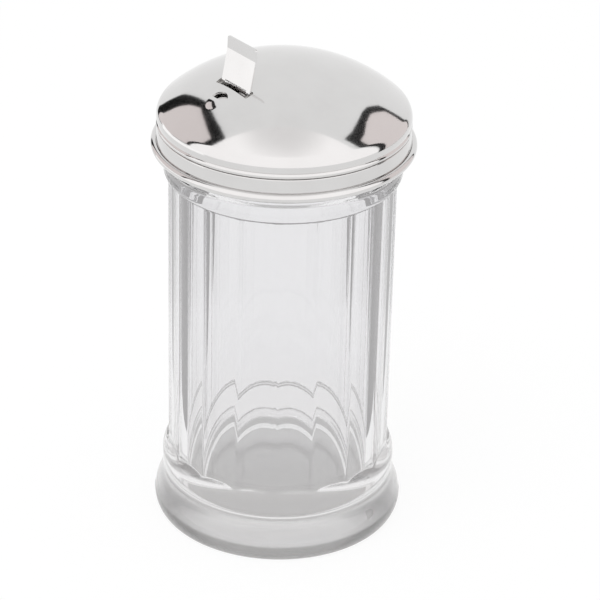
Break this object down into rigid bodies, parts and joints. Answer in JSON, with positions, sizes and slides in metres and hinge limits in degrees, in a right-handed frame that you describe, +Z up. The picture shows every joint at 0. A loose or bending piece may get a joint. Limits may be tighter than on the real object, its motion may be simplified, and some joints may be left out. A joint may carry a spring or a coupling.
{
  "type": "sugar dispenser with flap",
  "caption": "Fluted clear glass sugar jar with a screw-on domed metal lid and an upright weighted flap that closes the pouring hole from inside.",
  "frame": {"origin": "centre of the base, on the surface that the jar stands on", "axes": "+Z up along the jar; the flap and the pouring hole are on the -Y side and the flap's hinge runs along X"},
  "size_m": [0.076, 0.076, 0.1539],
  "materials": {
    "clear_glass": "clear pressed glass",
    "seal_rubber": "matt",
    "polished_metal": "polished",
    "inner_steel": "plain rolled sheet"
  },
  "bodies": {
    "jar": {"jar": "clear_glass"},
    "seal": {"sealing_ring": "seal_rubber"},
    "lid": {"collar": "polished_metal", "dome_cap": "polished_metal", "hinge_bracket": "inner_steel", "hinge_pin": "inner_steel"},
    "flap": {"flap": "polished_metal"}
  },
  "joints": [
    {"name": "lid_lift", "type": "slide", "parent": "jar", "child": "seal", "axis": [0, 0, 1], "range_m": [0, 0.0042]},
    {"name": "lid_turn", "type": "hinge", "parent": "seal", "child": "lid", "pos_m": [0, 0, 0.125], "axis": [0, 0, 1], "range_deg": [0, 360]},
    {"name": "flap_swing", "type": "hinge", "parent": "lid", "child": "flap", "pos_m": [0, -0.01899, 0.13821], "axis": [1, 0, 0], "range_deg": [0, 23]}
  ],
  "couplings": [
    {"joint": "lid_lift", "follows": "lid_turn", "m_per_rad": 0.00066845}
  ]
}
